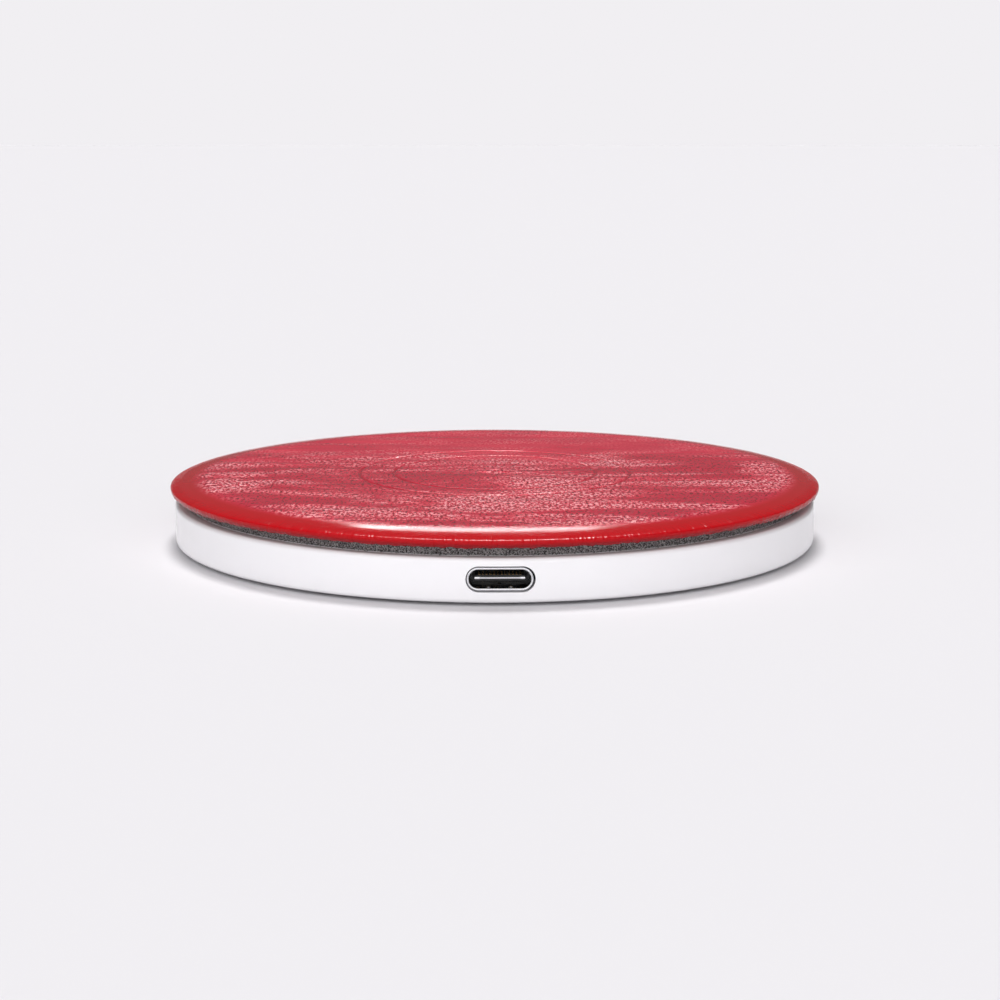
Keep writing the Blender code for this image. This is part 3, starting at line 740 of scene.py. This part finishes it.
cover_low, cover_high = (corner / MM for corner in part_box("leather_cover"))
COVER_RADIUS, COVER_TOP, COVER_LIP = cover_high.x, cover_high.z, cover_low.z
FLAT_RADIUS = 46.6  # where the rolled edge starts
WIDEST_Z = 8.95  # the height at which the roll is widest
LIP_RADIUS, TURN_IN = 49.3, 44.0  # the turned-in lip's outer and inner radius
LEATHER = 0.6  # thickness
MARK_RADII = (15.7, 21.0)
MARK_HALF_WIDTH, MARK_DEPTH = 0.38, 0.14
SHOULDER_START, SHOULDER_DROP = 43.0, 0.18  # the top falls away a little before its edge
ROLL_START = 50.0  # degrees round the roll at which the shoulder runs into it


def top_height(radius):
    """How high the pressed top is at this distance from the axis."""
    away = min(1.0, min(abs(radius - mark) for mark in MARK_RADII) / MARK_HALF_WIDTH)
    outward = max(0.0, radius - SHOULDER_START) / (FLAT_RADIUS - SHOULDER_START)
    pressed = MARK_DEPTH * (0.5 + 0.5 * math.cos(math.pi * away))
    return COVER_TOP - pressed - SHOULDER_DROP * outward**2


roll_turn = math.radians(ROLL_START)
ROLL_WIDTH = (COVER_RADIUS - FLAT_RADIUS) / (1.0 - math.cos(roll_turn))
ROLL_HEIGHT = (top_height(FLAT_RADIUS) - WIDEST_Z) / math.sin(roll_turn)
roll = arc((COVER_RADIUS - ROLL_WIDTH, WIDEST_Z), (ROLL_WIDTH, ROLL_HEIGHT), ROLL_START, 0, 16)
under_size = (COVER_RADIUS - LIP_RADIUS, WIDEST_Z - COVER_LIP)
under = arc((LIP_RADIUS, WIDEST_Z), under_size, 0, -90, 10)

# Rings of points on the top: close together under the plus, a millimetre apart beyond it, and
# close again across each pressed circle.
rows = {0.0, FLAT_RADIUS}
rows.update(0.25 * i for i in range(1, 13))
rows.update(3.0 + i for i in range(1, 44))
for mark in MARK_RADII:
    rows = {row for row in rows if abs(row - mark) > MARK_HALF_WIDTH + 0.2}
    rows.update(mark + MARK_HALF_WIDTH * i / 4 for i in range(-4, 5))

LIP_THICKNESS = 0.45  # the leather is pared thinner where it turns in
EDGE_THICKNESS = 0.55
cover_profile = [
    *[(row, top_height(row)) for row in sorted(rows)],
    *roll[1:],
    *under[1:],
    *[(LIP_RADIUS - i * (LIP_RADIUS - TURN_IN) / 8, COVER_LIP) for i in range(1, 9)],
    (TURN_IN, COVER_LIP + LIP_THICKNESS),
    (COVER_RADIUS - 2 * LIP_THICKNESS, COVER_LIP + LIP_THICKNESS),
    (COVER_RADIUS - EDGE_THICKNESS, WIDEST_Z - 0.05),
    (COVER_RADIUS - 2 * LEATHER, COVER_TOP - LEATHER - 0.15),
    (FLAT_RADIUS, COVER_TOP - LEATHER),
    (0.0, COVER_TOP - LEATHER),
]
COVER_STEPS = 720
leather_wrap = turned("leather_wrap", cover_profile, COVER_STEPS)

PLUS_REACH, PLUS_HALF_WIDTH, PLUS_SLOPE = 2.2, 0.26, 0.3


def on_face(point):
    return point.z >= COVER_TOP - LEATHER / 2


def plus_weight(point):
    """Full in the middle of the plus's bars, and nothing outside them."""
    if not on_face(point):
        return 0.0
    along, across = max(abs(point.x), abs(point.y)), min(abs(point.x), abs(point.y))
    outside = max(across - PLUS_HALF_WIDTH, along - PLUS_REACH, 0.0)
    return max(0.0, 1.0 - outside / PLUS_SLOPE)


def top_weight(point):
    """Full on the top, and fading to nothing where the edge rolls down."""
    if not on_face(point):
        return 0.0
    return min(1.0, (FLAT_RADIUS + 0.5 - point.xy.length) / 4.0)


def lip_weight(point):
    """Full on the turned-in lip's outer face, and fading as it turns up into the roll."""
    height = point.z - COVER_LIP
    inner_edge = point.xy.length < TURN_IN + 0.5
    inner_face = height >= LIP_THICKNESS - 0.01 and point.xy.length <= LIP_RADIUS - 0.1
    if inner_edge or inner_face or height > 0.6:
        return 0.0
    return 1.0 - height / 0.8


plus = leather_wrap.modifiers.new("plus", "DISPLACE")
plus.strength = -MARK_DEPTH * MM
plus.mid_level = 0.0
plus.direction = "Z"
plus.vertex_group = weighted(leather_wrap, "plus", plus_weight)
apply_modifiers(leather_wrap)
top_group = weighted(leather_wrap, "top", top_weight)
raise_pattern(leather_wrap, "creases", (22.0, 3.5, 10.0), 0.16, top_group)
lip_group = weighted(leather_wrap, "lip", lip_weight)
raise_pattern(leather_wrap, "pleats", (0.9, 0.9, 2.0), 0.45, lip_group)
smooth(leather_wrap, 70)

# The second edge red is painted shade for the foot of the roll, which faces down to the table.
EDGE_RED, EDGE_SHADED = (0.46, 0.003, 0.007), (0.26, 0.006, 0.01)
# The top's reds are painted paler and pinker than the edge's red: painted sheen of light grazing
# the top.
TOP_RED_SHEEN, TOP_RED_SHEEN_LIGHT = (0.64, 0.018, 0.052), (0.76, 0.03, 0.066)
# The pit colour is painted shade in the grain's pits. The wax colour is pale wax painted far paler
# than real, as painted glints.
BARE, PIT_SHADE, WAX_AND_GLINTS = (0.54, 0.012, 0.04), (0.27, 0.002, 0.012), (1.0, 0.46, 0.49)
# The colour along the pressed circles is painted shade in their grooves.
GROOVE_SHADE = (0.36, 0.006, 0.02)
red_leather = Finish("red_leather", EDGE_RED, 0.3, Specular_IOR_Level=0.15)
at = red_leather.node("SeparateXYZ", red_leather.spread((1.0, 1.0, 1.0))).outputs
flat_place = red_leather.node("CombineXYZ", at["X"], at["Y"]).outputs["Vector"]
radius = red_leather.node("VectorMath", flat_place, operation="LENGTH").outputs["Value"]
on_top = red_leather.between(radius, FLAT_RADIUS - 2.0, FLAT_RADIUS + 0.6, 1.0, 0.0)

# How far the hide is worked. The far third of the top is nearly as it was waxed, up to a
# ragged border, and from there to the front it is rubbed.
RAGGEDNESS, BORDER, BORDER_WIDTH, LEAST_WORKED = 80.0, 62.0, 20.0, 0.22
ragged = red_leather.noise((14.0, 9.0, 6.0), detail=5.0, roughness=0.7)
ragged = red_leather.calculate("MULTIPLY", ragged, RAGGEDNESS)
past_border = red_leather.calculate("ADD", at["Y"], ragged)
worked = red_leather.between(past_border, BORDER, BORDER - BORDER_WIDTH, LEAST_WORKED, 1.0)
worked = red_leather.calculate("MULTIPLY", worked, on_top)

# Long streaks are rubbed or worn bare. On the grain of the rubbed ones the wax is painted far
# paler than real wax, as painted glints, and the pits between the grains get painted shade.
streaks = red_leather.noise((26.0, 8.0, 10.0), detail=3.0, roughness=0.55, distortion=1.0)
rubbed = red_leather.between(streaks, 0.42, 0.62)
grain = red_leather.noise((0.45, 1.0, 0.5), detail=2.0, roughness=0.7)
wax_and_glints = red_leather.calculate("MULTIPLY", red_leather.between(grain, 0.5, 0.585), rubbed)
wax_and_glints = red_leather.calculate("MULTIPLY", wax_and_glints, worked)
pit_shade = red_leather.calculate("MULTIPLY", red_leather.between(grain, 0.48, 0.4), worked)
bare = red_leather.calculate("MULTIPLY", red_leather.between(streaks, 0.54, 0.38), worked)
mottle = red_leather.between(red_leather.noise((12.0, 6.0, 6.0), detail=4.0), 0.35, 0.7)
body = red_leather.blend(mottle, TOP_RED_SHEEN, TOP_RED_SHEEN_LIGHT)
for amount, colour in ((bare, BARE), (pit_shade, PIT_SHADE), (wax_and_glints, WAX_AND_GLINTS)):
    body = red_leather.blend(amount, body, colour)
# Each pressed circle is darkened along its groove: painted shade.
for mark in MARK_RADII:
    off_mark = red_leather.calculate("SUBTRACT", radius, mark)
    off_mark = red_leather.calculate("ABSOLUTE", off_mark)
    pressed = red_leather.between(off_mark, 0.45, 0.15, 0.0, 0.7)
    body = red_leather.blend(pressed, body, GROOVE_SHADE)
# Darker towards the foot of the rolled edge, where it faces the table: painted shade.
shade_below = red_leather.between(at["Z"], 8.3, 8.9)
edge = red_leather.blend(shade_below, EDGE_SHADED, EDGE_RED)
# The top takes its paler, pinker colours, a painted sheen, and the roll keeps the plain red.
red_leather.feed("Base Color", red_leather.blend(on_top, edge, body))
red_leather.feed("Roughness", red_leather.between(at["Z"], 9.4, 9.75, 0.2, 0.12))

# Stretching puckers the rolled edge into fine upright ripples: the pattern changes only round
# the pad and not up it. It is centred on zero, so that it fades out level.
RIPPLE, RIPPLE_RADIUS = 0.5, 49.0  # their length round the edge, at this radius
on_rim = red_leather.node("VectorMath", flat_place, operation="NORMALIZE").outputs["Vector"]
turns = (RIPPLE_RADIUS / RIPPLE,) * 3
on_rim = red_leather.node("VectorMath", on_rim, turns, operation="MULTIPLY").outputs["Vector"]
ripples = red_leather.noise(1.0, detail=2.0, vector=on_rim)
ripples = red_leather.calculate("SUBTRACT", ripples, 0.5)
ripples = red_leather.calculate("MULTIPLY", ripples, red_leather.between(at["Z"], 9.65, 9.4))
red_leather.relief((red_leather.calculate("MULTIPLY", grain, worked), 0.07), (ripples, 0.2))
dress(leather_wrap, red_leather)
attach(leather_wrap, "root")
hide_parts("leather_cover")


# ---------------------------------------------------------------------- studio
# The pad stands on a plain pale table under a soft glow, with one lamp above it and a broad
# one low in front. The lamps behind it add only gloss, on the edge where the leather rolls.

scene = bpy.context.scene
scene.view_settings.view_transform = "Standard"
BACKDROP = (0.879, 0.863, 0.888)
TABLE = (0.742, 0.729, 0.75)  # which the light brings up to the backdrop's tone

deselect()
bpy.ops.mesh.primitive_circle_add(vertices=64, radius=8.0, fill_type="NGON")
table_top = settle("table_top")
table_finish = Finish("table_top", TABLE, 1.0, Specular_IOR_Level=0.0)
dress(table_top, table_finish)

# The world glows on the pad, is dimmer in reflections, and is the backdrop where it shows.
world = bpy.data.worlds.new("studio")
world.use_nodes = True
scene.world = world
sky = world.node_tree
glow = sky.nodes["Background"]
glow.inputs["Color"].default_value = (1.0, 0.985, 1.01, 1.0)
glow.inputs["Strength"].default_value = 0.2
sheen = sky.nodes.new("ShaderNodeBackground")
sheen.inputs["Strength"].default_value = 0.19
seen = sky.nodes.new("ShaderNodeBackground")
seen.inputs["Color"].default_value = (*BACKDROP, 1.0)
rays = sky.nodes.new("ShaderNodeLightPath")
shown = glow.outputs[0]
for ray, view in (("Is Glossy Ray", sheen), ("Is Camera Ray", seen)):
    choose = sky.nodes.new("ShaderNodeMixShader")
    sky.links.new(rays.outputs[ray], choose.inputs[0])
    sky.links.new(shown, choose.inputs[1])
    sky.links.new(view.outputs[0], choose.inputs[2])
    shown = choose.outputs[0]
sky.links.new(shown, sky.nodes["World Output"].inputs[0])


def lamp(name, azimuth, elevation, strength, spread):
    """A far, soft lamp, its angles in degrees. Azimuth 0 is in front of the socket."""
    light = bpy.data.lights.new(name, "SUN")
    light.energy = strength
    light.angle = math.radians(spread)
    holder = bpy.data.objects.new(name, light)
    scene.collection.objects.link(holder)
    turn, lift = math.radians(azimuth), math.radians(elevation)
    towards = Vector(
        (math.cos(lift) * math.sin(turn), -math.cos(lift) * math.cos(turn), math.sin(lift))
    )
    holder.rotation_euler = towards.to_track_quat("Z", "Y").to_euler()
    return holder


lamp("lamp_above", 180.0, 76.0, 2.0, 16.0).visible_glossy = False
lamp("lamp_in_front", -8.0, 25.0, 2.5, 100.0)
# A faint line half way down the roll, and a long bright one where the roll starts.
lamp("lamp_on_edge", 176.0, 74.0, 4.0, 4.0).visible_diffuse = False
for aside in (-4.0, -2.0, 0.0, 2.0, 4.0):
    lamp("lamp_behind", 180.0 + aside, 22.6, 0.018, 2.2).visible_diffuse = False

camera_data = bpy.data.cameras.new("camera")
camera = bpy.data.objects.new("camera", camera_data)
scene.collection.objects.link(camera)
scene.camera = camera
DISTANCE, LENS = 0.320, 73.44
turn, lift = math.radians(-0.789), math.radians(11.274)
camera.location = (
    DISTANCE * math.cos(lift) * math.sin(turn),
    -DISTANCE * math.cos(lift) * math.cos(turn),
    DISTANCE * math.sin(lift),
)
look_at = Vector((0.8 * MM, 0.0, 5.54 * MM))
camera.rotation_euler = (camera.location - look_at).to_track_quat("Z", "Y").to_euler()
camera_data.lens = LENS
camera_data.clip_start = 0.01
